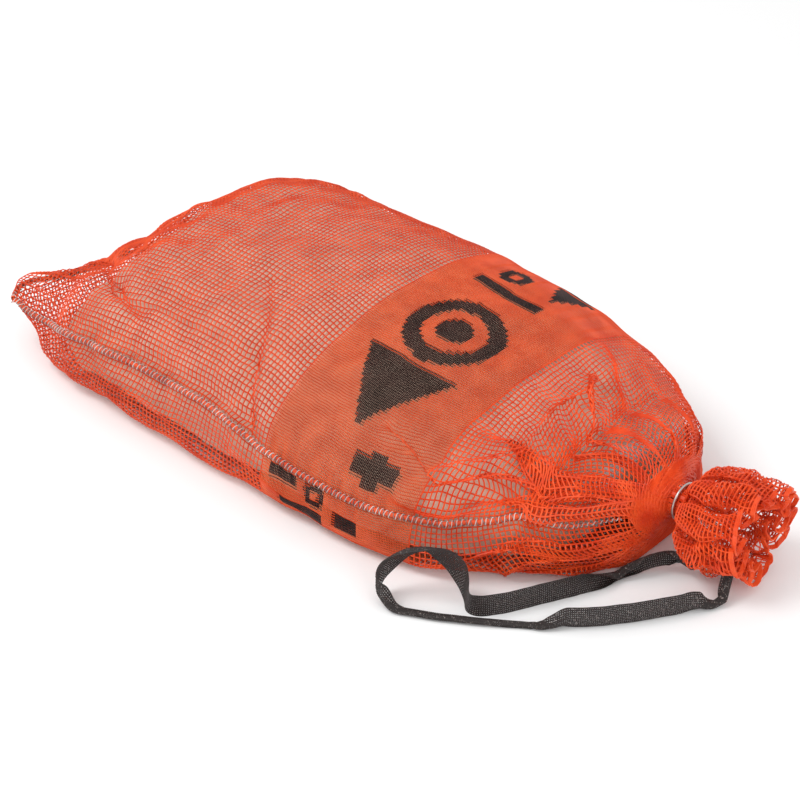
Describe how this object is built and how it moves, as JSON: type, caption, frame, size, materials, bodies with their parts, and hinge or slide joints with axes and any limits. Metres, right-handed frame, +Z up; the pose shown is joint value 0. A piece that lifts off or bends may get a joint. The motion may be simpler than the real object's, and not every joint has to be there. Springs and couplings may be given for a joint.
{
  "type": "filled mesh sack",
  "caption": "Open leno-mesh sack around a white nonwoven pillow, with an overlocked side seam, a woven band, a neck closed by a wire ring, a gathered frill and a draw-tape loop.",
  "frame": {"origin": "under the middle of the sack, on the surface that it lies on, at the centre of the box of the sack without its tape loop", "axes": "+X along the sack from its bottom seam to its gathered mouth, -Y the side with the side seam, +Z up"},
  "size_m": [0.6901, 0.3468, 0.12],
  "materials": {
    "net": "open leno net of flat polyethylene tapes, satin",
    "band": "close-woven band of the same tapes with black printed geometric marks",
    "selvage": "firm woven edge of the net",
    "liner": "white spunbonded nonwoven, matte",
    "fill": "loose fibrous fill",
    "thread": "white and grey overlock thread",
    "steel": "bright drawn wire",
    "tape": "black open-woven flat tape"
  },
  "bodies": {
    "sack": {"net_lower": "net", "woven_band": "band", "net_upper": "net", "liner": "liner", "sorbent_fill": "fill", "liner_bottom_seal": "liner", "liner_top_seal": "liner", "neck_gather": "net", "neck_ring": "steel", "frill": "net", "mouth_selvage": "selvage", "side_seam_thread": "thread", "bottom_seam_thread": "thread"},
    "tape_loop": {"draw_tape": "tape"}
  },
  "joints": [
    {"name": "tape_lift", "type": "hinge", "parent": "sack", "child": "tape_loop", "pos_m": [0.3085, -0.0155, 0.01215], "axis": [-0.9689, 0.2055, 0.138], "range_deg": [0, 50]}
  ]
}
